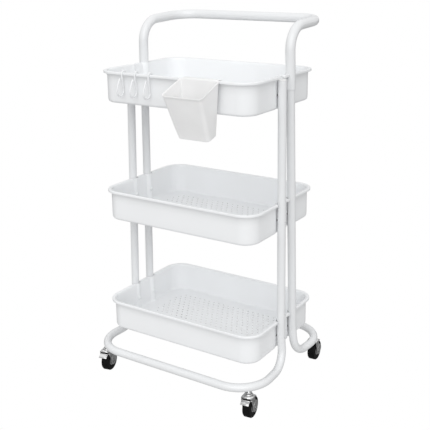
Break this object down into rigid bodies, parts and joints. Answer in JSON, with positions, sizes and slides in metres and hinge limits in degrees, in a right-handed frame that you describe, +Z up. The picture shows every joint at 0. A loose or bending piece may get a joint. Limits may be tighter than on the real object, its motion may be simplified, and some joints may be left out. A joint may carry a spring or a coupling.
{
  "type": "rolling utility cart",
  "caption": "Rolling cart with open rectangular baskets stacked between two bent tube frames, a push handle, swivel casters, a hanging cup and hooks.",
  "frame": {"origin": "middle of the footprint of the whole object, on the floor that the casters stand on", "axes": "+Z up, +X to the right along the baskets' long side, -Y to the front, where the cup and the hooks hang and the braked casters are; the push handle is at +Y"},
  "size_m": [0.469, 0.415, 0.869],
  "materials": {
    "frame_paint": "satin white powder coat on steel tube",
    "basket_paint": "satin white powder coat on pressed sheet steel",
    "hook_paint": "white coated steel wire",
    "cap_plastic": "white moulded plastic",
    "cup_plastic": "slightly translucent white moulded plastic, fine matt texture",
    "caster_chrome": "bright zinc or chrome plated stamped steel",
    "screw_steel": "plated steel",
    "wheel_rubber": "black rubber tread, slightly worn",
    "hub_plastic": "grey moulded plastic"
  },
  "bodies": {
    "cart": {"bottom_basket": "basket_paint", "bottom_screw_front_left": "screw_steel", "bottom_screw_front_right": "screw_steel", "bottom_screw_rear_left": "screw_steel", "bottom_screw_rear_right": "screw_steel", "front_frame": "frame_paint", "front_left_caster_stem": "caster_chrome", "front_left_post_cap": "cap_plastic", "front_right_caster_stem": "caster_chrome", "front_right_post_cap": "cap_plastic", "handle": "frame_paint", "middle_basket": "basket_paint", "middle_screw_front_left": "screw_steel", "middle_screw_front_right": "screw_steel", "middle_screw_rear_left": "screw_steel", "middle_screw_rear_right": "screw_steel", "rear_frame": "frame_paint", "rear_left_caster_stem": "caster_chrome", "rear_right_caster_stem": "caster_chrome", "top_basket": "basket_paint", "top_screw_front_left": "screw_steel", "top_screw_front_right": "screw_steel", "top_screw_rear_left": "screw_steel", "top_screw_rear_right": "screw_steel"},
    "front_left_fork": {"front_left_caster_fork": "caster_chrome", "front_left_axle": "screw_steel"},
    "front_left_wheel": {"front_left_tyre": "wheel_rubber", "front_left_hub": "hub_plastic"},
    "front_left_brake": {"front_left_brake_pedal": "caster_chrome"},
    "front_right_fork": {"front_right_caster_fork": "caster_chrome", "front_right_axle": "screw_steel"},
    "front_right_wheel": {"front_right_tyre": "wheel_rubber", "front_right_hub": "hub_plastic"},
    "front_right_brake": {"front_right_brake_pedal": "caster_chrome"},
    "rear_left_fork": {"rear_left_caster_fork": "caster_chrome", "rear_left_axle": "screw_steel"},
    "rear_left_wheel": {"rear_left_tyre": "wheel_rubber", "rear_left_hub": "hub_plastic"},
    "rear_right_fork": {"rear_right_caster_fork": "caster_chrome", "rear_right_axle": "screw_steel"},
    "rear_right_wheel": {"rear_right_tyre": "wheel_rubber", "rear_right_hub": "hub_plastic"},
    "cup": {"hanging_cup": "cup_plastic"},
    "hook_1_body": {"hook_1": "hook_paint"},
    "hook_2_body": {"hook_2": "hook_paint"},
    "hook_3_body": {"hook_3": "hook_paint"}
  },
  "joints": [
    {"name": "front_left_swivel", "type": "hinge", "parent": "cart", "child": "front_left_fork", "pos_m": [-0.206, -0.14496, 0.06], "axis": [0, 0, 1], "continuous": true},
    {"name": "front_left_wheel_spin", "type": "hinge", "parent": "front_left_fork", "child": "front_left_wheel", "pos_m": [-0.20766, -0.13714, 0.025], "axis": [0.9781, 0.2079, 0], "continuous": true},
    {"name": "front_left_brake_press", "type": "hinge", "parent": "front_left_fork", "child": "front_left_brake", "pos_m": [-0.20413, -0.15377, 0.0486], "axis": [0.9781, 0.2079, 0], "range_deg": [0, 14]},
    {"name": "front_right_swivel", "type": "hinge", "parent": "cart", "child": "front_right_fork", "pos_m": [0.206, -0.14496, 0.06], "axis": [0, 0, 1], "continuous": true},
    {"name": "front_right_wheel_spin", "type": "hinge", "parent": "front_right_fork", "child": "front_right_wheel", "pos_m": [0.20503, -0.13702, 0.025], "axis": [0.9925, 0.1219, 0], "continuous": true},
    {"name": "front_right_brake_press", "type": "hinge", "parent": "front_right_fork", "child": "front_right_brake", "pos_m": [0.2071, -0.1539, 0.0486], "axis": [0.9925, 0.1219, 0], "range_deg": [0, 14]},
    {"name": "rear_left_swivel", "type": "hinge", "parent": "cart", "child": "rear_left_fork", "pos_m": [-0.206, 0.17404, 0.06], "axis": [0, 0, 1], "continuous": true},
    {"name": "rear_left_wheel_spin", "type": "hinge", "parent": "rear_left_fork", "child": "rear_left_wheel", "pos_m": [-0.20642, 0.18202, 0.025], "axis": [0.9986, 0.0523, 0], "continuous": true},
    {"name": "rear_right_swivel", "type": "hinge", "parent": "cart", "child": "rear_right_fork", "pos_m": [0.206, 0.17404, 0.06], "axis": [0, 0, 1], "continuous": true},
    {"name": "rear_right_wheel_spin", "type": "hinge", "parent": "rear_right_fork", "child": "rear_right_wheel", "pos_m": [0.2053, 0.18201, 0.025], "axis": [0.9962, 0.0872, 0], "continuous": true},
    {"name": "cup_lift", "type": "slide", "parent": "cart", "child": "cup", "axis": [0, 0, 1], "range_m": [0, 0.03]},
    {"name": "hook_1_swing", "type": "hinge", "parent": "cart", "child": "hook_1_body", "pos_m": [-0.127, -0.13096, 0.748], "axis": [-1, 0, 0], "range_deg": [0, 18]},
    {"name": "hook_2_swing", "type": "hinge", "parent": "cart", "child": "hook_2_body", "pos_m": [-0.0905, -0.13096, 0.748], "axis": [-1, 0, 0], "range_deg": [0, 18]},
    {"name": "hook_3_swing", "type": "hinge", "parent": "cart", "child": "hook_3_body", "pos_m": [-0.053, -0.13096, 0.748], "axis": [-1, 0, 0], "range_deg": [0, 18]}
  ]
}
